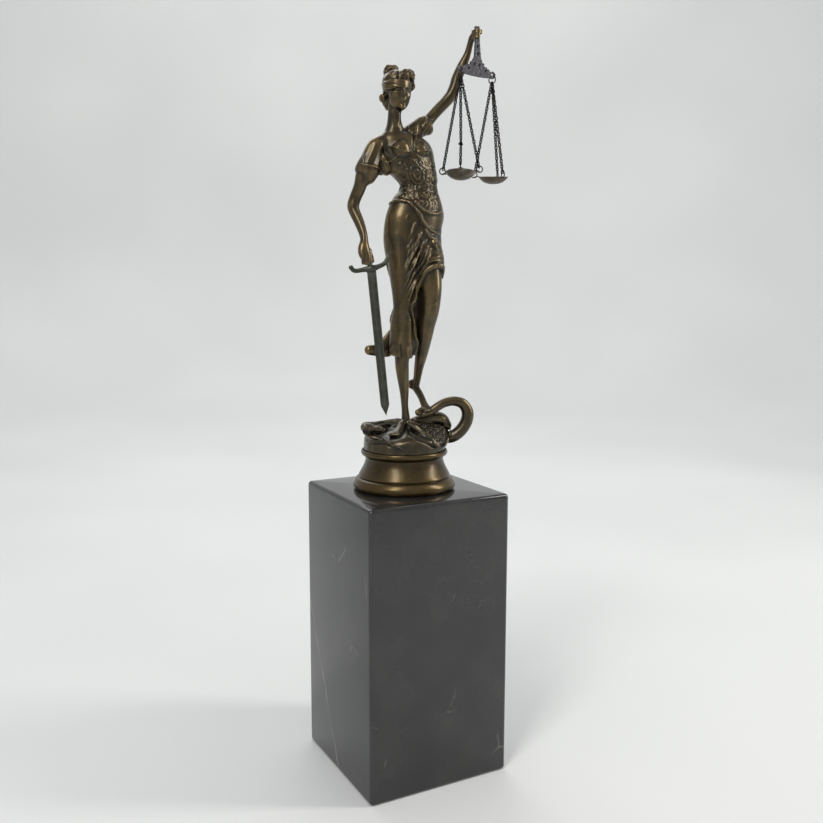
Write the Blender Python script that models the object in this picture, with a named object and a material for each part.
"""Lady justice on a black marble block.

A bronze figure with a sword and a balance stands on a mound with a snake and an open book.
The mound sits in a turned bronze socle, and the socle stands on a polished block.
The figure faces -Y and its left hand is on the +X side. Sizes below are in millimetres, and
heights in the tables are counted from a level that lies RISE above the block's underside.
"""
import math

import bpy
import numpy as np

MM = 0.001
GAP = 0.3

# Block and socle
BLOCK_SIDE = 81.7
BLOCK_HEIGHT = 154.2
BLOCK_EDGE = 2.2
RISE = 1.2
SOCLE_TOP = 173.6
MOUND_RADIUS = 21.9
MOUND_FOOT = SOCLE_TOP + GAP
SOCLE_SHIFT = np.array([-0.45, 0.2])

# Balance
BEAM_THICK = 1.8
LINK_PITCH = 1.5
LINKS_PER_SECTION = 1.25
LINK_WIDE = 0.62
LINK_THIN = 0.24

# Grain of the cast figure: cell of the first skin and triangles kept in the end
CELL = 0.75
FIGURE_TRIANGLES = 4700

# The direction across the body that runs along the hips, for cloth and legs
ACROSS = (0.88, -0.47, 0.0)
SIDE = (1.0, 0.0, 0.0)


def clear_scene():
    for thing in list(bpy.data.objects):
        bpy.data.objects.remove(thing, do_unlink=True)


def material(name, colour, roughness, metallic):
    mat = bpy.data.materials.new(name)
    mat.use_nodes = True
    shader = mat.node_tree.nodes["Principled BSDF"]
    shader.inputs["Base Color"].default_value = (*colour, 1.0)
    shader.inputs["Roughness"].default_value = roughness
    shader.inputs["Metallic"].default_value = metallic
    mat.diffuse_color = (*colour, 1.0)
    return mat


def metres(points):
    """Points of the tables, in millimetres, as metres above the block's underside."""
    return ((np.asarray(points, float) + (0.0, 0.0, RISE)) * MM).tolist()


# Surfaces

def spline(rows, steps):
    """A smooth curve through the rows; every column is carried along with the place."""
    rows = np.asarray(rows, float)
    ends = np.vstack([2 * rows[0] - rows[1], rows, 2 * rows[-1] - rows[-2]])
    t = np.linspace(0.0, 1.0, steps, endpoint=False)[:, None]
    out = []
    for i in range(len(rows) - 1):
        p0, p1, p2, p3 = ends[i:i + 4]
        cubic = (-p0 + 3 * p1 - 3 * p2 + p3) * t ** 3
        square = (2 * p0 - 5 * p1 + 4 * p2 - p3) * t ** 2
        out.append(0.5 * (2 * p1 + (p2 - p0) * t + square + cubic))
    out.append(rows[-1:])
    return np.vstack(out)


def unit(v):
    v = np.asarray(v, float)
    return v / np.maximum(np.linalg.norm(v, axis=-1, keepdims=True), 1e-9)


def tube(rows, across=SIDE, sides=16, steps=4, round_ends=(0.35, 0.7, 0.93)):
    """An oval section carried along a curve. A row is x, y, z, half size across, half size deep."""
    path = spline(rows, steps)
    centre = path[:, :3]
    wide = np.maximum(path[:, 3:4], 0.05)
    deep = np.maximum(path[:, 4:5], 0.05)
    along = unit(np.gradient(centre, axis=0))
    u = np.asarray(across, float) - along * (along @ np.asarray(across, float))[:, None]
    u = unit(u)
    v = np.cross(along, u)
    turn = np.linspace(0.0, 2 * math.pi, sides, endpoint=False)
    ring = wide[:, :, None] * np.cos(turn)[None, :, None] * u[:, None, :]
    ring = ring + deep[:, :, None] * np.sin(turn)[None, :, None] * v[:, None, :]
    rings = []
    reach = min(wide[0, 0], deep[0, 0])
    for k in reversed(round_ends):
        slide = -along[0] * reach * math.sin(k * math.pi / 2)
        rings.append(centre[0] + slide + ring[0] * math.cos(k * math.pi / 2))
    rings.extend(centre[:, None, :] + ring)
    reach = min(wide[-1, 0], deep[-1, 0])
    for k in round_ends:
        slide = along[-1] * reach * math.sin(k * math.pi / 2)
        rings.append(centre[-1] + slide + ring[-1] * math.cos(k * math.pi / 2))
    return np.array(rings)


def ball(centre, size, sides=16, rings=9, up=(0.0, 0.0, 1.0), across=SIDE):
    """An egg with three half sizes: across, deep and up."""
    up = unit(up)
    u = unit(np.asarray(across, float) - up * float(np.dot(across, up)))
    v = np.cross(up, u)
    lift = np.linspace(-math.pi / 2, math.pi / 2, rings + 2)[1:-1]
    turn = np.linspace(0.0, 2 * math.pi, sides, endpoint=False)
    c = np.cos(lift)[:, None, None]
    grid = size[0] * c * np.cos(turn)[None, :, None] * u
    grid = grid + size[1] * c * np.sin(turn)[None, :, None] * v
    grid = grid + size[2] * np.sin(lift)[:, None, None] * up
    return np.asarray(centre, float) + grid


def column(rows, sides=40, steps=5, squareness=2.3):
    """Level oval sections one above the other. A row is z, x, y, half width, half depth."""
    path = spline(rows, steps)
    turn = np.linspace(0.0, 2 * math.pi, sides, endpoint=False)
    c = np.cos(turn)
    s = np.sin(turn)
    power = 2.0 / squareness
    c = np.sign(c) * np.abs(c) ** power
    s = np.sign(s) * np.abs(s) ** power
    x = path[:, 1:2] + path[:, 3:4] * c
    y = path[:, 2:3] + path[:, 4:5] * s
    z = np.repeat(path[:, 0:1], sides, axis=1)
    return np.stack([x, y, z], axis=-1)


def outward(grid):
    """The outward direction at every point of a closed-round grid."""
    round_step = np.roll(grid, -1, axis=1) - np.roll(grid, 1, axis=1)
    along_step = np.gradient(grid, axis=0)
    return unit(np.cross(round_step, along_step))


def emboss(grid, curve, width, height):
    """Raises or sinks the grid near a curve, most on the curve itself, none three widths away."""
    points = spline(curve, 6)
    offset = grid[:, :, None, :] - points[None, None, :, :]
    near = np.sqrt((offset ** 2).sum(axis=-1)).min(axis=-1)
    lift = height * np.exp(-(near / width) ** 2)
    return grid + outward(grid) * lift[:, :, None]


def slab(corners, thick, nu=6, nv=6, sag=0.0):
    """A plate over four corners (round the edge in order), bulging by sag in its middle."""
    a, b, c, d = [np.asarray(p, float) for p in corners]
    s = np.linspace(0.0, 1.0, nu)[:, None, None]
    t = np.linspace(0.0, 1.0, nv)[None, :, None]
    top = (1 - s) * (1 - t) * a + s * (1 - t) * b + s * t * c + (1 - s) * t * d
    normal = unit(np.cross(b - a, d - a))
    top = top + normal * sag * (4 * s * (1 - s))
    low = top - normal * thick
    return top, low


class Cast:
    """Collects closed surfaces that together make one casting."""

    def __init__(self):
        self.points = []
        self.faces = []
        self.count = 0

    def add(self, grid):
        """A grid that closes round on itself; both open ends are closed on a middle point."""
        n, m = grid.shape[:2]
        start = self.count
        i = np.arange(n - 1)[:, None]
        j = np.arange(m)[None, :]
        k = (j + 1) % m
        quads = np.stack([i * m + j, i * m + k, (i + 1) * m + k, (i + 1) * m + j], axis=-1)
        quads = quads.reshape(-1, 4) + start
        self.points.append(grid.reshape(-1, 3))
        self.points.append(grid[0].mean(axis=0)[None, :])
        self.points.append(grid[-1].mean(axis=0)[None, :])
        low = start + n * m
        high = low + 1
        self.faces.extend(quads.tolist())
        for a in range(m):
            b = (a + 1) % m
            self.faces.append([low, start + b, start + a])
            self.faces.append([high, start + (n - 1) * m + a, start + (n - 1) * m + b])
        self.count += n * m + 2

    def plate(self, top, low):
        """A plate between an upper and a lower grid of the same shape."""
        n, m = top.shape[:2]
        rim = [(i, 0) for i in range(n)]
        rim += [(n - 1, j) for j in range(1, m)]
        rim += [(i, m - 1) for i in range(n - 2, -1, -1)]
        rim += [(0, j) for j in range(m - 2, 0, -1)]
        start = self.count
        self.points.append(top.reshape(-1, 3))
        self.points.append(low.reshape(-1, 3))
        under = start + n * m
        for i in range(n - 1):
            for j in range(m - 1):
                a = i * m + j
                quad = [a, a + m, a + m + 1, a + 1]
                self.faces.append([start + q for q in quad])
                self.faces.append([under + q for q in reversed(quad)])
        for (i, j), (p, q) in zip(rim, rim[1:] + rim[:1]):
            a = i * m + j
            b = p * m + q
            self.faces.append([start + b, start + a, under + a, under + b])
        self.count += 2 * n * m

    def object(self, name, mat):
        mesh = bpy.data.meshes.new(name)
        mesh.from_pydata(metres(np.vstack(self.points)), [], self.faces)
        mesh.materials.append(mat)
        mesh.update()
        thing = bpy.data.objects.new(name, mesh)
        bpy.context.scene.collection.objects.link(thing)
        return thing


def turned(profile, sides=40):
    """A profile of (radius, height) rows turned round the Z axis, from the bottom to the top."""
    rows = np.asarray(profile, float)
    turn = np.linspace(0.0, 2 * math.pi, sides, endpoint=False)
    x = rows[:, 0:1] * np.cos(turn)
    y = rows[:, 0:1] * np.sin(turn)
    z = np.repeat(rows[:, 1:2], sides, axis=1)
    return np.stack([x, y, z], axis=-1)


def smooth(thing):
    for face in thing.data.polygons:
        face.use_smooth = True
    return thing


def cut(target, cutter, kind="DIFFERENCE"):
    mod = target.modifiers.new("cut_" + cutter.name, "BOOLEAN")
    mod.operation = kind
    mod.solver = "EXACT"
    mod.object = cutter
    cutter.hide_render = True
    cutter.display_type = "WIRE"


# Body of the figure

TRUNK = [
    (263.0, 6.3, -2.0, 11.0, 8.0),
    (268.0, 6.6, -1.2, 14.4, 10.2),
    (276.0, 5.2, -0.5, 15.8, 11.2),
    (284.0, 4.2, -0.5, 16.3, 11.5),
    (291.0, 4.2, -0.6, 16.2, 11.3),
    (298.0, 5.3, -1.1, 16.4, 10.8),
    (304.2, 5.9, -1.2, 14.5, 10.0),
    (307.4, 6.3, -1.2, 12.9, 9.4),
    (310.6, 7.1, -1.1, 10.9, 8.7),
    (313.8, 7.2, -1.0, 10.3, 8.2),
    (317.0, 6.1, -0.7, 11.9, 8.4),
    (320.2, 3.9, -0.3, 13.8, 8.8),
    (326.0, 2.4, 0.3, 14.6, 8.9),
    (332.0, 1.5, 1.2, 14.8, 8.6),
    (336.6, 0.0, 1.8, 13.8, 7.4),
    (340.0, -2.2, 2.2, 9.6, 5.2),
]

SHOULDERS = [
    (-15.2, 2.3, 332.6, 4.2, 4.8),
    (-12.0, 2.2, 334.0, 4.7, 4.8),
    (-5.0, 2.2, 336.4, 5.0, 4.9),
    (0.0, 2.3, 337.8, 5.0, 4.9),
    (5.0, 2.3, 340.8, 5.2, 5.0),
    (11.5, 2.4, 345.8, 4.8, 4.6),
]

NECK = [
    (-5.0, 2.3, 336.0, 9.0, 5.6),
    (-5.2, 2.1, 339.4, 6.2, 5.0),
    (-5.4, 1.7, 342.8, 4.5, 4.3),
    (-5.8, 1.2, 346.4, 3.6, 3.7),
    (-5.9, 0.6, 350.4, 3.3, 3.7),
    (-5.7, 0.2, 356.0, 3.7, 4.2),
]

RIGHT_ARM = [
    (-16.6, 2.1, 332.6, 4.0, 4.6),
    (-19.7, 2.2, 327.4, 3.8, 4.0),
    (-23.2, 2.2, 319.3, 3.6, 3.6),
    (-24.6, 3.0, 312.3, 3.3, 3.4),
    (-26.4, 5.1, 306.4, 3.1, 3.2),
    (-27.4, 5.6, 302.6, 3.1, 3.3),
    (-27.1, 4.8, 299.6, 2.9, 3.0),
    (-25.8, 1.9, 294.0, 2.6, 2.8),
    (-25.3, -1.9, 287.8, 2.1, 2.4),
    (-25.7, -3.8, 284.2, 2.1, 2.3),
    (-26.1, -5.2, 280.6, 3.1, 2.7),
    (-26.0, -6.2, 276.6, 3.3, 2.6),
    (-25.4, -6.8, 273.8, 2.9, 2.2),
]

LEFT_ARM = [
    (8.0, 2.4, 342.0, 4.4, 4.4),
    (12.8, 2.4, 345.6, 3.4, 3.4),
    (16.8, 2.5, 350.1, 3.0, 3.0),
    (21.4, 2.3, 354.9, 3.0, 3.0),
    (24.9, 2.1, 358.3, 3.0, 3.0),
    (28.2, 1.5, 362.2, 3.1, 3.1),
    (30.1, 0.8, 366.8, 3.0, 3.0),
    (31.1, 0.2, 371.1, 2.9, 2.9),
    (32.9, -1.9, 377.0, 2.6, 2.6),
    (34.9, -3.9, 382.9, 1.9, 1.9),
    (35.5, -5.5, 387.6, 1.5, 1.6),
    (35.9, -6.6, 390.6, 1.8, 1.8),
]

RIGHT_LEG = [
    (-3.8, -1.4, 288.0, 8.0, 8.0),
    (-4.1, -3.5, 269.8, 6.6, 7.0),
    (-4.1, -4.6, 254.2, 5.0, 5.4),
    (-3.6, -3.8, 238.5, 4.3, 4.9),
    (-3.4, -2.7, 222.6, 3.7, 4.1),
    (-2.9, -2.4, 216.1, 3.4, 3.7),
    (-1.9, -2.4, 206.4, 2.5, 2.8),
    (-1.6, -2.5, 199.0, 1.9, 2.2),
    (-1.3, -2.6, 195.0, 1.9, 2.2),
    (-1.0, -2.7, 191.4, 2.2, 2.6),
]

RIGHT_FOOT = [
    (0.6, -1.3, 188.9, 1.7, 1.7),
    (-2.2, -3.5, 188.8, 2.2, 2.2),
    (-5.4, -6.0, 187.3, 2.3, 1.8),
    (-8.4, -8.4, 185.8, 2.6, 1.4),
    (-11.2, -10.4, 184.6, 2.7, 1.1),
]

LEFT_LEG = [
    (8.7, -4.7, 285.6, 7.4, 7.4),
    (9.1, -8.3, 274.0, 6.6, 6.8),
    (9.3, -11.0, 262.1, 5.9, 6.0),
    (9.3, -11.7, 254.6, 5.0, 5.2),
    (9.2, -10.7, 248.0, 4.6, 4.7),
    (8.8, -8.0, 241.6, 4.3, 4.9),
    (8.8, -5.5, 235.2, 4.0, 4.8),
    (9.0, -2.9, 228.6, 3.5, 4.1),
    (8.8, -0.7, 222.0, 3.0, 3.2),
    (8.8, 1.0, 217.6, 2.6, 2.6),
    (9.1, 3.2, 212.0, 2.2, 2.2),
    (9.1, 4.9, 208.2, 2.2, 2.3),
]

LEFT_FOOT = [
    (8.8, 5.9, 207.2, 1.9, 2.0),
    (9.2, 2.4, 204.7, 2.1, 2.0),
    (9.0, -1.6, 202.0, 2.0, 1.8),
    (8.4, -5.4, 199.2, 2.2, 1.5),
    (8.0, -9.2, 196.9, 2.5, 1.3),
]

# Folds and edges that stand up from the cloth: the line of each, its width and its height
FOLDS = [
    # Lower edge of the bodice
    ([(0.5, -10.5, 304.4), (2.8, -11.4, 301.6), (6.7, -11.9, 299.4), (12.0, -10.9, 299.0),
      (17.6, -8.2, 301.0)], 0.8, 0.9),
    # Folds that run from the knot down and across the thigh
    ([(-2.2, -10.6, 298.1), (-0.9, -11.4, 295.1), (-0.6, -11.4, 292.1), (-3.0, -10.9, 287.0)], 1.3, 1.0),
    ([(2.6, -11.7, 290.1), (1.5, -11.9, 285.0), (0.1, -11.4, 280.5),
      (-3.5, -10.7, 273.4), (-5.8, -10.0, 266.9)], 1.2, 1.5),
    ([(6.7, -11.8, 287.2), (3.6, -12.4, 280.5), (0.2, -11.3, 273.5),
      (-3.5, -10.8, 267.0), (-5.0, -10.3, 262.5)], 1.1, 1.6),
    ([(6.8, -13.3, 282.8), (4.1, -13.4, 275.8), (1.6, -11.2, 269.4),
      (-3.0, -11.0, 264.0), (-4.7, -10.4, 258.9)], 1.1, 1.5),
    ([(7.7, -14.4, 279.4), (5.0, -14.4, 273.5), (2.4, -11.1, 267.0),
      (-1.0, -11.0, 261.1), (-3.6, -10.5, 255.3)], 1.1, 1.4),
    ([(15.0, -13.0, 278.8), (9.1, -16.0, 275.9), (5.5, -15.1, 273.0)], 1.1, 1.0),
    ([(4.7, -11.8, 291.7), (8.2, -12.0, 286.7), (13.1, -10.8, 285.4)], 1.1, 1.1),
    # Ridge down the hip and the edge of the smooth part
    ([(-9.2, -6.1, 298.2), (-10.5, -5.6, 293.3), (-11.4, -4.7, 288.1), (-11.4, -3.9, 282.9)], 1.2, 0.8),
    ([(-4.5, -9.4, 299.1), (-3.1, -10.7, 294.0), (-3.2, -10.8, 289.0), (-4.9, -10.1, 281.9),
      (-6.9, -9.5, 275.8), (-8.2, -8.7, 268.6)], 1.5, 0.8),
    # Folds of the cloth that hangs over the right shin
    ([(-5.8, -9.8, 251.2), (-6.0, -9.0, 243.9), (-6.6, -7.9, 236.1), (-7.3, -5.8, 228.2)], 1.2, 1.1),
    ([(-2.6, -9.2, 246.0), (-2.0, -9.2, 239.7), (-1.8, -8.8, 232.4), (-2.2, -7.3, 226.0)], 1.1, 1.1),
    ([(-8.9, -6.5, 254.3), (-8.9, -6.1, 246.5), (-9.2, -4.9, 238.6), (-9.6, -2.2, 230.7)], 1.2, 0.5),
    # Folds down the back, plainer
    ([(-6.0, 9.4, 296.0), (-5.0, 10.4, 284.0), (-5.5, 8.6, 270.0),
      (-5.0, 4.4, 252.0), (-6.0, 3.4, 236.0)], 1.6, 1.2),
    ([(2.0, 10.2, 298.0), (1.5, 11.2, 284.0), (2.0, 9.0, 270.0),
      (1.0, 6.6, 252.0), (0.0, 7.4, 234.0)], 1.5, 1.2),
    ([(9.0, 9.6, 298.0), (9.5, 10.6, 284.0), (9.0, 8.0, 270.0),
      (6.0, 6.4, 252.0), (4.0, 7.6, 236.0)], 1.6, 1.2),
    ([(16.0, 6.6, 296.0), (17.6, 6.2, 284.0), (16.0, 4.4, 270.0), (11.0, 3.4, 256.0)], 1.4, 1.0),
]

CORD = [
    (-8.2, -3.9, 305.1), (-6.1, -7.0, 305.1), (-3.3, -9.3, 304.6), (-0.8, -10.8, 302.0), (2.0, -11.8, 298.6),
    (3.8, -12.3, 294.6), (7.6, -11.8, 291.2), (12.3, -10.7, 289.1), (16.6, -8.2, 289.2),
]
BELT_BACK = [
    (-8.2, -3.9, 305.1), (-7.6, 3.0, 304.0), (0.0, 8.6, 303.0), (9.0, 8.8, 302.0),
    (17.0, 4.4, 298.0), (19.6, -2.0, 292.0), (16.6, -8.2, 289.2),
]

# Cloth that hangs over the right leg
DRAPE = [
    (-1.1, -2.5, 281.0, 9.1, 8.5),
    (-1.1, -3.6, 270.0, 8.5, 7.5),
    (-2.0, -4.3, 259.3, 6.7, 6.6),
    (-3.5, -3.9, 250.3, 4.9, 6.2),
    (-3.5, -3.2, 243.0, 6.2, 6.2),
    (-2.9, -2.4, 236.0, 6.7, 6.6),
    (-2.5, -1.5, 230.0, 7.2, 6.6),
    (-3.0, -1.2, 226.0, 6.4, 6.0),
]

BACK_CLOTH = [
    (6.8, 3.2, 276.0, 14.5, 4.0),
    (6.9, 3.6, 268.0, 13.2, 2.6),
    (6.4, 4.2, 258.0, 10.9, 1.9),
    (5.9, 4.7, 251.0, 9.2, 1.7),
    (4.6, 5.3, 242.0, 10.2, 1.6),
    (3.6, 5.9, 237.0, 8.7, 1.5),
    (1.0, 7.2, 228.0, 9.0, 1.4),
]

FLYING_CLOTH = [
    (0.0, 5.6, 238.0, 4.6, 1.4),
    (-4.0, 6.2, 232.8, 5.2, 1.4),
    (-7.5, 6.8, 228.9, 5.2, 1.4),
    (-11.0, 7.6, 227.7, 4.0, 1.5),
    (-14.4, 8.6, 227.4, 3.0, 2.1),
    (-16.9, 9.2, 227.6, 2.8, 2.6),
]


def folded(grid):
    """The grid with every fold of the cloth worked into it."""
    for line, width, height in FOLDS:
        grid = emboss(grid, line, width, height)
    return grid


def add_trunk(cast):
    grid = column(TRUNK, sides=96, steps=7, squareness=2.0)
    cast.add(folded(grid))
    for side in (-1, 1):
        cast.add(ball((0.6 + side * 5.4, -5.2, 330.6), (4.6, 4.4, 4.4)))
    cast.add(tube(SHOULDERS, across=(0, 1, 0), steps=5))
    cast.add(tube(NECK))


def add_head(cast):
    mid = np.array([-5.1, -0.6, 360.4])
    cast.add(ball(mid + (0, 0.9, 3.4), (6.7, 7.4, 7.4), sides=24, rings=13))
    cast.add(ball(mid + (0.4, -2.0, -3.0), (5.6, 5.8, 7.2), sides=24, rings=13))
    cast.add(ball(mid + (0, -6.4, -8.6), (1.8, 1.5, 1.5)))
    nose = [(0, -7.3, 1.0, 0.5, 0.6), (0, -8.1, -1.0, 0.7, 0.8), (0, -8.6, -2.6, 1.0, 0.9)]
    nose = [(mid[0] + x, mid[1] + y, mid[2] + z, a, b) for x, y, z, a, b in nose]
    cast.add(tube(nose, steps=3))
    lips = [(-1.7, -6.8, -5.1, 0.35, 0.35), (0, -7.6, -5.2, 0.6, 0.6), (1.7, -6.8, -5.1, 0.35, 0.35)]
    lips = [(mid[0] + x, mid[1] + y, mid[2] + z, a, b) for x, y, z, a, b in lips]
    cast.add(tube(lips, across=(0, 0, 1), steps=3))
    # Blindfold
    band = [
        (mid[2] + 0.2, mid[0], mid[1] + 0.3, 6.4, 7.8),
        (mid[2] + 0.6, mid[0], mid[1] + 0.3, 7.0, 8.4),
        (mid[2] + 2.4, mid[0], mid[1] + 0.3, 7.2, 8.5),
        (mid[2] + 4.4, mid[0], mid[1] + 0.5, 7.0, 8.2),
        (mid[2] + 4.8, mid[0], mid[1] + 0.6, 6.4, 7.6),
    ]
    cast.add(column(band, sides=28, steps=2, squareness=2.0))
    # Hair: cap, knot at the top, roll over the brow and curls at the sides
    cast.add(ball(mid + (-0.2, 1.4, 5.6), (6.6, 7.2, 5.0), sides=24, rings=11))
    cast.add(ball((-6.5, 4.4, 370.7), (3.5, 4.0, 3.6)))
    cast.add(ball((-5.0, 5.2, 372.6), (3.4, 3.4, 2.3)))
    roll = [(-6.0, -4.6, 366.2, 2.5, 2.5), (-3.0, -5.2, 367.6, 2.9, 2.9), (0.0, -4.2, 368.2, 3.0, 3.0),
            (1.2, -1.8, 366.4, 2.8, 2.8), (2.0, -0.8, 363.4, 2.4, 2.4)]
    cast.add(tube(roll, across=(0, 0, 1), steps=4))
    cast.add(ball((2.0, -2.4, 363.2), (1.9, 2.2, 2.4)))
    cast.add(ball((0.9, -2.2, 359.8), (1.1, 1.4, 2.2)))
    cast.add(ball((-10.0, 2.4, 364.2), (1.6, 3.8, 3.0)))
    cast.add(ball((-10.1, 5.8, 357.8), (2.0, 2.2, 2.3)))
    cast.add(ball((-7.8, 6.0, 356.2), (2.4, 2.6, 3.0)))
    cast.add(ball((-7.2, 6.2, 353.8), (1.5, 1.6, 2.0)))
    cast.add(ball((-5.0, 6.2, 361.0), (4.8, 2.6, 6.0)))


def finger(cast, rows, wide=0.85):
    cast.add(tube([(*p, wide, wide) for p in rows], steps=3, sides=8))


def add_arms(cast):
    cast.add(tube(RIGHT_ARM, steps=4))
    cast.add(tube(LEFT_ARM, across=(0, 1, 0), steps=4))
    # Right sleeve: cap, flared cuff and the puff under it
    sleeve = [
        (-15.4, 2.2, 333.2, 4.2, 4.8), (-17.0, 2.2, 330.0, 4.9, 5.0), (-18.6, 2.2, 326.2, 5.3, 5.2),
        (-20.2, 2.2, 322.4, 6.0, 5.8), (-21.1, 2.3, 319.6, 6.4, 6.0), (-21.8, 2.4, 317.2, 5.3, 5.0),
        (-22.8, 2.6, 315.8, 4.0, 4.0),
    ]
    cast.add(tube(sleeve, sides=20, steps=4))
    band = [(-25.4, -1.6, 322.4), (-22.8, -3.8, 322.0), (-18.6, -3.6, 321.3), (-15.0, -1.4, 320.6)]
    cast.add(tube([(*p, 0.7, 0.7) for p in band], across=(0, 0, 1), steps=3, sides=8))
    cast.add(ball((-14.6, -1.0, 318.9), (1.0, 1.0, 1.4)))
    cast.add(ball((-12.2, 0.6, 324.0), (3.6, 4.4, 6.4), up=(-0.35, 0, 0.94)))
    # Left sleeve: gathered puff and the end that hangs from it
    cast.add(ball((11.2, 2.6, 344.6), (4.6, 6.2, 6.0), up=(0.65, 0, 0.76)))
    cast.add(ball((14.0, 1.0, 343.4), (2.5, 3.4, 3.2)))
    # Right hand: four fingers and a thumb round the grip
    for k in range(4):
        x = -27.5 + 1.3 * k
        y = -7.3 - 0.75 * math.sin((k + 0.5) / 4 * math.pi)
        finger(cast, [(x + 0.4, y + 0.9, 279.0), (x, y, 276.0), (x + 0.25, y - 0.3, 272.6)])
    finger(cast, [(-23.9, -4.6, 280.4), (-22.7, -6.0, 277.2), (-22.3, -7.4, 273.8)], 0.95)
    # Left hand: fist round the upright of the balance
    cast.add(ball((36.2, -8.2, 391.6), (1.8, 2.6, 2.2), up=(0.1, -0.5, 0.9)))
    for k in range(4):
        z = 393.9 - 1.4 * k
        reach = 38.4 if k < 2 else 37.2
        bend = [(35.1, -8.4, z), (35.2, -11.4, z), (36.4, -12.6, z - 0.2), (reach, -12.0, z - 0.2)]
        finger(cast, bend, 0.72)
    finger(cast, [(36.8, -7.4, 392.6), (38.6, -9.0, 392.0), (38.6, -11.0, 391.6)], 0.8)


def add_legs(cast):
    cast.add(tube(RIGHT_LEG, steps=4))
    cast.add(tube(LEFT_LEG, steps=4))
    cast.add(tube(RIGHT_FOOT, across=(0.6, -0.75, 0), steps=4))
    cast.add(tube(LEFT_FOOT, steps=4))
    cast.add(ball((0.4, -1.0, 189.4), (1.9, 2.1, 2.2)))
    cast.add(ball((7.3, 6.4, 208.4), (2.5, 2.2, 3.0)))
    cast.add(tube([(7.0, -8.0, 196.4, 1.8, 1.4), (3.2, -8.2, 194.6, 1.9, 1.6)], steps=3))
    for k in range(5):
        slip = (k - 2) * 1.05
        long = 2.6 - 0.35 * k
        base = np.array([-11.0, -10.2, 184.7]) + np.array([-0.62, 0.78, 0]) * -slip
        tip = base + np.array([-0.75, -0.6, -0.25]) * long
        finger(cast, [base, (base + tip) / 2 + (0, 0, 0.15), tip], 0.72 + (0.2 if k == 0 else 0))
        base = np.array([8.0 + slip, -9.6, 196.6])
        tip = base + np.array([0, -0.9, -0.35]) * long
        finger(cast, [base, (base + tip) / 2 + (0, 0, 0.15), tip], 0.72 + (0.2 if k == 0 else 0))


def add_cloth(cast):
    cast.add(folded(tube(DRAPE, across=ACROSS, sides=56, steps=8, round_ends=(0.2,))))
    cast.add(folded(tube(BACK_CLOTH, across=ACROSS, sides=56, steps=8)))
    cast.add(tube(FLYING_CLOTH, across=(0.3, 0, 1), sides=16, steps=4))
    # Edge of the slit and the arch of cloth over the left thigh
    edge = [(15.6, -11.5, 266.0), (14.2, -15.0, 270.6), (9.5, -16.6, 271.6), (4.6, -14.2, 268.4),
            (2.2, -11.6, 262.0), (0.6, -9.6, 255.0), (-0.6, -8.8, 249.5), (1.0, -8.2, 243.0),
            (2.2, -7.4, 236.0), (3.4, -6.2, 230.0), (2.4, -6.0, 226.0)]
    cast.add(tube([(*p, 1.1, 1.1) for p in edge], across=(1, 0, 0.2), steps=4, sides=10))
    thigh = [(9.4, -6.2, 280.0, 8.4, 8.2), (9.8, -8.4, 274.5, 8.1, 7.8), (10.0, -9.2, 271.5, 7.6, 7.2)]
    cast.add(folded(tube(thigh, sides=48, steps=8, round_ends=(0.2,))))
    cast.add(ball((9.6, -13.6, 284.0), (1.8, 1.5, 1.9)))
    cast.add(tube([(10.0, -14.2, 282.6, 1.0, 0.8), (11.0, -14.6, 280.0, 0.8, 0.7)], steps=3, sides=8))
    # Cord round the hips
    cast.add(tube([(*p, 0.75, 0.75) for p in CORD], across=(0, 0, 1), steps=4, sides=8))
    cast.add(tube([(*p, 0.7, 0.7) for p in BELT_BACK], across=(0, 0, 1), steps=4, sides=8))


def add_mound(cast):
    profile = [(MOUND_RADIUS, MOUND_FOOT), (22.1, 177.5), (21.6, 180.2), (19.0, 182.2), (14.0, 184.0),
               (8.5, 185.6), (3.0, 186.6), (0.6, 186.8)]
    grid = turned(spline(profile, 3), sides=48)
    turn = np.arctan2(grid[..., 1], grid[..., 0])
    wave = 0.5 * np.sin(3 * turn + 0.6) + 0.35 * np.sin(7 * turn + 2.0)
    rise = np.clip((grid[..., 2] - MOUND_FOOT) / 4.0, 0, 1)
    grid[..., 2] += wave * rise
    grid[..., :2] += SOCLE_SHIFT
    cast.add(grid)


SNAKE = [
    (6.0, -8.2, 192.8, 1.2, 1.2),
    (9.5, -9.8, 194.6, 1.7, 1.7),
    (13.6, -10.9, 197.6, 1.8, 1.8),
    (18.2, -11.6, 199.8, 2.0, 2.0),
    (23.4, -13.0, 200.4, 2.2, 2.2),
    (28.2, -14.3, 198.6, 2.6, 2.6),
    (30.7, -14.9, 193.8, 2.9, 2.9),
    (30.2, -14.8, 188.4, 3.1, 3.1),
    (26.8, -13.6, 183.2, 3.1, 3.1),
    (22.2, -11.4, 180.4, 3.0, 3.0),
    (19.6, -6.0, 180.4, 3.0, 3.0),
    (18.6, 2.0, 182.2, 3.0, 3.0),
    (13.0, 8.6, 184.8, 3.0, 3.0),
    (4.5, 10.0, 186.0, 3.0, 3.0),
    (-3.5, 8.0, 186.3, 3.0, 3.0),
    (-11.0, 6.0, 186.2, 2.9, 2.9),
    (-17.0, 5.8, 186.2, 2.8, 2.8),
]


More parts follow.
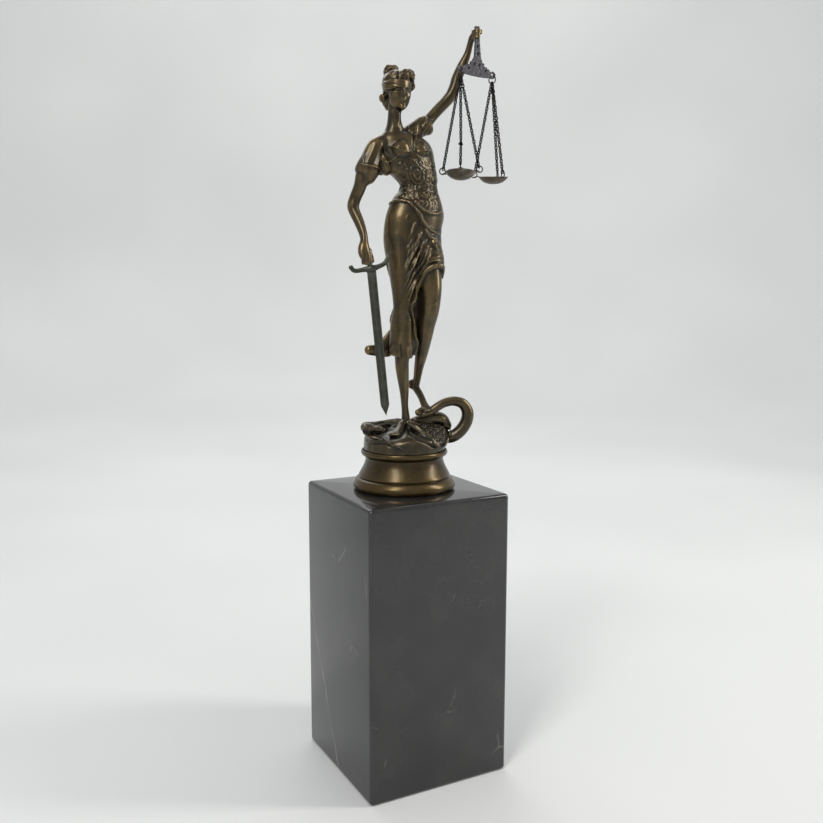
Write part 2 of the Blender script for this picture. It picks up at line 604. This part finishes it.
def add_snake(cast):
    cast.add(tube(SNAKE, across=(0, 0, 1), sides=14, steps=5))
    head = [(-17.0, 5.8, 186.6, 2.6, 2.8), (-21.4, 4.0, 186.8, 2.8, 2.8), (-21.8, -0.4, 187.0, 2.4, 3.0),
            (-18.6, -4.2, 186.8, 1.5, 2.6), (-16.0, -6.4, 186.4, 0.9, 1.6)]
    cast.add(tube(head, across=(0, 0, 1), sides=14, steps=4))
    jaw = [(-21.2, 2.2, 184.2, 1.8, 2.6), (-20.8, -2.4, 182.8, 1.4, 2.6), (-17.6, -6.6, 182.0, 0.9, 1.8)]
    cast.add(tube(jaw, across=(0, 0, 1), sides=12, steps=4))


BOOK_TOP = [(0.6, -7.0, 190.4), (17.6, -11.6, 187.0), (16.6, -19.0, 180.2), (7.6, -21.0, 179.0)]
BOOK_SPINE = [(-2.2, -8.6, 189.6), (3.0, -14.2, 184.6), (8.2, -20.4, 178.6)]
BOOK_LEAF = [
    (4.0, -3.6, 189.2, 3.0, 2.6),
    (10.0, -4.6, 190.4, 4.6, 3.4),
    (15.0, -5.9, 190.8, 5.2, 3.8),
    (18.9, -7.0, 189.8, 5.0, 3.5),
    (21.2, -8.2, 186.6, 3.7, 2.9),
]


def add_book(cast):
    top, low = slab([BOOK_TOP[0], BOOK_TOP[3], BOOK_TOP[2], BOOK_TOP[1]], 5.0, sag=0.6)
    cast.plate(top, low)
    cast.add(tube([(*p, 2.0, 1.5) for p in BOOK_SPINE], across=(0.8, 0.5, 0.2), sides=12, steps=4))
    cast.add(tube(BOOK_LEAF, across=(0.4, 0.9, 0), sides=16, steps=4))


def build_figure(mat):
    cast = Cast()
    add_trunk(cast)
    add_head(cast)
    add_arms(cast)
    add_legs(cast)
    add_cloth(cast)
    add_mound(cast)
    add_snake(cast)
    add_book(cast)
    figure = cast.object("figure", mat)
    skin = figure.modifiers.new("skin", "REMESH")
    skin.mode = "VOXEL"
    skin.voxel_size = CELL * MM
    skin.adaptivity = 0.0
    bpy.context.view_layer.update()
    ready = figure.evaluated_get(bpy.context.evaluated_depsgraph_get())
    fine = 2 * len(ready.data.polygons)
    thin = figure.modifiers.new("thin", "DECIMATE")
    thin.ratio = FIGURE_TRIANGLES / fine
    cut(figure, grip_solid(GAP, "room_for_grip", mat))
    cut(figure, post_solid(GAP, "room_for_post", mat))
    return smooth(figure)


# Sword

BLADE = [(-23.5, -7.7, 269.4), (-17.5, -10.9, 199.8), (-16.9, -11.2, 194.6)]
BLADE_WIDE = 2.35
BLADE_THICK = 0.75
BLADE_TURN = (0.935, -0.354, 0.0)
GRIP = [(-23.9, -7.5, 270.2), (-25.4, -6.2, 280.6)]
GRIP_RADIUS = 1.3
GUARD = [
    (-33.1, -3.8, 270.6, 1.1, 1.1),
    (-32.2, -4.3, 269.4, 1.2, 1.2),
    (-30.6, -5.0, 269.0, 1.2, 1.2),
    (-26.8, -6.4, 269.7, 1.4, 1.4),
    (-23.7, -7.6, 270.0, 2.0, 1.8),
    (-20.8, -8.8, 271.0, 1.4, 1.4),
    (-17.8, -9.8, 272.4, 1.2, 1.2),
    (-16.4, -10.3, 273.8, 1.2, 1.2),
    (-15.9, -10.4, 275.0, 0.9, 0.9),
]


def straight(points, sizes, across, sides):
    """Sections with flat ends carried along straight runs between the points."""
    points = np.asarray(points, float)
    along = unit(np.gradient(points, axis=0))
    u = unit(np.asarray(across, float) - along * (along @ np.asarray(across, float))[:, None])
    v = np.cross(along, u)
    turn = np.linspace(0.0, 2 * math.pi, sides, endpoint=False)
    sizes = np.asarray(sizes, float)
    ring = sizes[:, 0, None, None] * np.cos(turn)[None, :, None] * u[:, None, :]
    ring = ring + sizes[:, 1, None, None] * np.sin(turn)[None, :, None] * v[:, None, :]
    return points[:, None, :] + ring


def lone(grid, name, mat):
    cast = Cast()
    cast.add(grid)
    return cast.object(name, mat)


def grip_solid(extra, name, mat):
    foot, top = [np.asarray(p) for p in GRIP]
    lift = unit(top - foot)
    radius = GRIP_RADIUS + extra
    points = [foot - lift * 4 * extra, top + lift * extra]
    return lone(straight(points, [(radius, radius)] * 2, SIDE, 10), name, mat)


def build_sword(mat):
    wide = BLADE_WIDE
    thick = BLADE_THICK
    sizes = [(wide, thick), (wide, thick), (0.15, 0.1)]
    sword = lone(straight(BLADE, sizes, BLADE_TURN, 4), "sword", mat)
    bar = tube(GUARD, across=(0, 0, 1), sides=10, steps=2, round_ends=(0.6,))
    cut(sword, lone(bar, "guard", mat), "UNION")
    cut(sword, grip_solid(0.0, "grip", mat), "UNION")
    return sword


# Balance

BEAM_MID = (36.4, -10.75, 373.0)
POST_LEAN = -0.085
BEAM_DIP = math.radians(3.2)
EYE_OUT = 9.75
EYE_DROP = 0.6
EYE_RADIUS = 2.0
EYE_HOLE = 0.95
EYE_HOLE_DROP = 0.75
BEAM_HALF = [
    (1.25, 22.4), (1.5, 21.6), (1.25, 20.6), (1.25, 17.0), (1.5, 12.0), (1.9, 7.6), (2.3, 6.4),
    (2.6, 5.4), (2.5, 4.7), (3.4, 4.3), (4.2, 3.6), (4.1, 2.7), (5.4, 2.7), (6.0, 1.7), (7.2, 1.9),
    (7.9, 0.9),
]
BEAM_HOLES = [
    (0.0, 12.2, 0.45), (0.0, 8.4, 0.5), (-1.7, 3.0, 0.5), (1.2, 2.8, 0.5),
    (-5.2, 0.5, 0.4), (5.0, 0.5, 0.4),
]


def beam_place(dx, dz, y=0.0):
    """A point of the beam's own drawing, leaned by its dip and moved to its place."""
    c = math.cos(BEAM_DIP)
    s = math.sin(BEAM_DIP)
    dx = dx + POST_LEAN * max(dz - 7.0, 0.0)
    x = BEAM_MID[0] + dx * c + dz * s
    z = BEAM_MID[2] - dx * s + dz * c
    return (x, BEAM_MID[1] + y, z)


def prism(outline, thick, name, mat):
    """A flat outline of the beam's drawing, clockwise as seen from the front, made thick along Y."""
    front = np.array([beam_place(x, z, -thick / 2) for x, z in outline])
    back = np.array([beam_place(x, z, thick / 2) for x, z in outline])
    n = len(outline)
    faces = [list(range(n - 1, -1, -1)), list(range(n, 2 * n))]
    for a in range(n):
        b = (a + 1) % n
        faces.append([a, b, n + b, n + a])
    mesh = bpy.data.meshes.new(name)
    mesh.from_pydata(metres(np.vstack([front, back])), [], faces)
    mesh.materials.append(mat)
    thing = bpy.data.objects.new(name, mesh)
    bpy.context.scene.collection.objects.link(thing)
    return thing


def circle(x, z, radius, sides, start=0.0, span=2 * math.pi):
    turns = [start - span * k / sides for k in range(sides)]
    return [(x + radius * math.cos(t), z + radius * math.sin(t)) for t in turns]


def beam_outline():
    eye = circle(EYE_OUT, -EYE_DROP, EYE_RADIUS, 8, start=2.2, span=1.4 * math.pi)
    right = BEAM_HALF + eye + [(7.4, -2.2), (3.0, -3.0)]
    left = [(-x, z) for x, z in reversed(right)]
    return right + left


def post_solid(extra, name, mat):
    """The upper part of the post with some room round it, open at the top and the bottom."""
    wide = 1.5 + extra
    outline = [(wide, 27.0), (wide, 12.0), (-wide, 12.0), (-wide, 27.0)]
    return prism(outline, BEAM_THICK + 2 * extra, name, mat)


def build_beam(mat):
    beam = prism(beam_outline(), BEAM_THICK, "balance_beam", mat)
    holes = [(x, z, r) for x, z, r in BEAM_HOLES]
    holes += [(side * EYE_OUT, -EYE_HOLE_DROP, EYE_HOLE) for side in (-1, 1)]
    for k, (x, z, radius) in enumerate(holes):
        cut(beam, prism(circle(x, z, radius, 8), BEAM_THICK * 2, "beam_hole_%d" % k, mat))
    return beam


def hoop(centre, plane, radius, wire, name, mat, sides=10, around=4):
    """A wire ring whose plane holds the Z axis and the level direction 'plane' (degrees from +X)."""
    flat = np.array([math.cos(math.radians(plane)), math.sin(math.radians(plane)), 0.0])
    up = np.array([0.0, 0.0, 1.0])
    axis = np.cross(flat, up)
    turn = np.linspace(0.0, 2 * math.pi, sides, endpoint=False)
    roll = np.linspace(0.0, 2 * math.pi, around, endpoint=False)
    out = np.cos(turn)[:, None] * flat + np.sin(turn)[:, None] * up
    ring = (radius + wire * np.cos(roll))[None, :, None] * out[:, None, :]
    ring = ring + (wire * np.sin(roll))[None, :, None] * axis
    points = (np.asarray(centre) + ring).reshape(-1, 3)
    faces = []
    for i in range(sides):
        for j in range(around):
            k = (i + 1) % sides
            m = (j + 1) % around
            faces.append([i * around + j, k * around + j, k * around + m, i * around + m])
    mesh = bpy.data.meshes.new(name)
    mesh.from_pydata(metres(points), [], faces)
    mesh.materials.append(mat)
    thing = bpy.data.objects.new(name, mesh)
    bpy.context.scene.collection.objects.link(thing)
    return smooth(thing)


# Pans: centre, lean towards the front, and the turns of the three lugs from +X
VIEW_SIDE = -28.0
PANS = [
    ((27.0, -11.1, 320.8), 22.0, (60.0, 172.0, -16.0)),
    ((47.6, -10.8, 319.7), 7.5, (152.0, 44.0, -94.0)),
]
LUG_HOLE_OUT = 8.95
LUG_HALF = 1.3
LUG_THICK = 0.5
LUG_HOLE = 0.9
HOOK_OUT = 1.35
HOOK_UP = 1.1
JUMP_RADIUS = 1.75
JUMP_WIRE = 0.28


def lean(points, centre, degrees):
    """Leans points about a level line through the centre so that the far side comes up."""
    t = math.radians(VIEW_SIDE)
    axis = np.array([math.cos(t), math.sin(t), 0.0])
    a = math.radians(degrees)
    rel = np.asarray(points, float) - centre
    across = np.cross(axis, rel)
    along = (rel @ axis)[..., None] * axis
    return centre + rel * math.cos(a) + across * math.sin(a) + along * (1 - math.cos(a))


def build_pan(number, centre, tilt, lugs, mat):
    outer = [(0.9, -3.9), (3.6, -3.4), (6.2, -2.0), (8.1, 0.0)]
    inner = [(7.65, 0.15), (5.9, -1.3), (3.4, -2.6), (0.9, -3.1)]
    grid = turned(outer + inner, sides=16) + np.asarray(centre)
    pan = lone(lean(grid, centre, tilt), "pan_%d" % number, mat)
    for k, turn in enumerate(lugs):
        t = math.radians(turn)
        out = np.array([math.cos(t), math.sin(t), 0.0])
        side = np.array([-math.sin(t), math.cos(t), 0.0])
        eye = np.asarray(centre) + out * LUG_HOLE_OUT
        ear = []
        for z in (-LUG_THICK / 2, LUG_THICK / 2):
            ends = [(-1.15, -1.0), (0.2, -LUG_HALF), (1.0, -0.8), (1.3, 0.0), (1.0, 0.8), (0.2, LUG_HALF),
                    (-1.15, 1.0)]
            ear.append([eye + out * a + side * b + (0, 0, z) for a, b in ends])
        cut(pan, lone(lean(np.array(ear), centre, tilt), "lug_%d_%d" % (number, k), mat), "UNION")
    for k, turn in enumerate(lugs):
        t = math.radians(turn)
        out = np.array([math.cos(t), math.sin(t), 0.0])
        eye = np.asarray(centre) + out * LUG_HOLE_OUT
        hole = []
        for z in (-2.0, 2.0):
            turns = [2 * math.pi * q / 8 for q in range(8)]
            hole.append([eye + (LUG_HOLE * math.cos(q), LUG_HOLE * math.sin(q), z) for q in turns])
        cut(pan, lone(lean(np.array(hole), centre, tilt), "lug_hole_%d_%d" % (number, k), mat))
    return pan


def chain(name, top, foot, mat):
    """A run of links fused into one strip: lozenge sections, wide one way and then the other."""
    top = np.asarray(top, float)
    foot = np.asarray(foot, float)
    count = int(round(np.linalg.norm(top - foot) / (LINK_PITCH * LINKS_PER_SECTION)))
    share = np.linspace(0.0, 1.0, count + 1)
    points = foot + (top - foot) * share[:, None]
    sizes = [(LINK_WIDE, LINK_THIN) if k % 2 else (LINK_THIN, LINK_WIDE) for k in range(count + 1)]
    return lone(straight(points, sizes, SIDE, 4), name, mat)


BEAM_RINGS = [(-EYE_OUT, 75.0), (EYE_OUT, -65.0)]
BEAM_RING_RADIUS = 2.0
BEAM_RING_DROP = 2.9


def build_balance(grey, wire):
    build_beam(grey)
    run = 0
    for number, ((x, plane), (centre, tilt, lugs)) in enumerate(zip(BEAM_RINGS, PANS), 1):
        eye = np.array(beam_place(x, 0.0))
        ring = eye - (0, 0, BEAM_RING_DROP)
        hoop(ring, plane, BEAM_RING_RADIUS, JUMP_WIRE, "beam_ring_%d" % number, wire)
        build_pan(number, np.asarray(centre), tilt, lugs, grey)
        start = ring - (0, 0, BEAM_RING_RADIUS + JUMP_WIRE + GAP)
        for turn in lugs:
            run += 1
            t = math.radians(turn)
            out = np.array([math.cos(t), math.sin(t), 0.0])
            hold = lean(np.asarray(centre) + out * LUG_HOLE_OUT, np.asarray(centre), tilt)
            hook = hold + out * HOOK_OUT + (0, 0, HOOK_UP)
            hoop(hook, turn, JUMP_RADIUS, JUMP_WIRE, "pan_ring_%d" % run, wire)
            foot = hook - out * 1.0 + (0, 0, JUMP_RADIUS + JUMP_WIRE + GAP)
            chain("chain_%d" % run, start + out * 1.0, foot, wire)


SOCLE = [
    (26.2, 153.3), (27.3, 153.9), (27.7, 155.2), (27.3, 157.2), (26.1, 158.9), (24.5, 159.8),
    (24.7, 160.7), (23.2, 163.4), (21.8, 166.4), (21.2, 169.6), (22.0, 171.2), (23.3, 172.2),
    (23.5, 173.4), (23.1, 174.3), (22.5, 174.3), (22.5, 173.6),
]


def build_base(bronze, marble):
    block = turned([(1.0, -RISE), (1.0, BLOCK_HEIGHT - RISE)], sides=4)
    half = BLOCK_SIDE / 2
    corners = [(half, half), (-half, half), (-half, -half), (half, -half)]
    block[..., :2] = corners
    plinth = lone(block, "plinth", marble)
    edge = plinth.modifiers.new("edge", "BEVEL")
    edge.width = BLOCK_EDGE * MM
    edge.segments = 3
    edge.limit_method = "ANGLE"
    edge.angle_limit = math.radians(60)
    ring = turned(SOCLE, sides=28)
    ring[..., :2] += SOCLE_SHIFT
    smooth(lone(ring, "socle", bronze))


def main():
    clear_scene()
    bronze = material("bronze", (0.12, 0.075, 0.035), 0.35, 1.0)
    steel = material("dark_steel", (0.05, 0.053, 0.053), 0.4, 1.0)
    grey = material("grey_cast_metal", (0.15, 0.15, 0.16), 0.5, 1.0)
    wire = material("chain_wire", (0.07, 0.06, 0.065), 0.45, 1.0)
    marble = material("black_marble", (0.012, 0.012, 0.013), 0.12, 0.0)
    build_base(bronze, marble)
    build_figure(bronze)
    build_sword(steel)
    build_balance(grey, wire)


main()
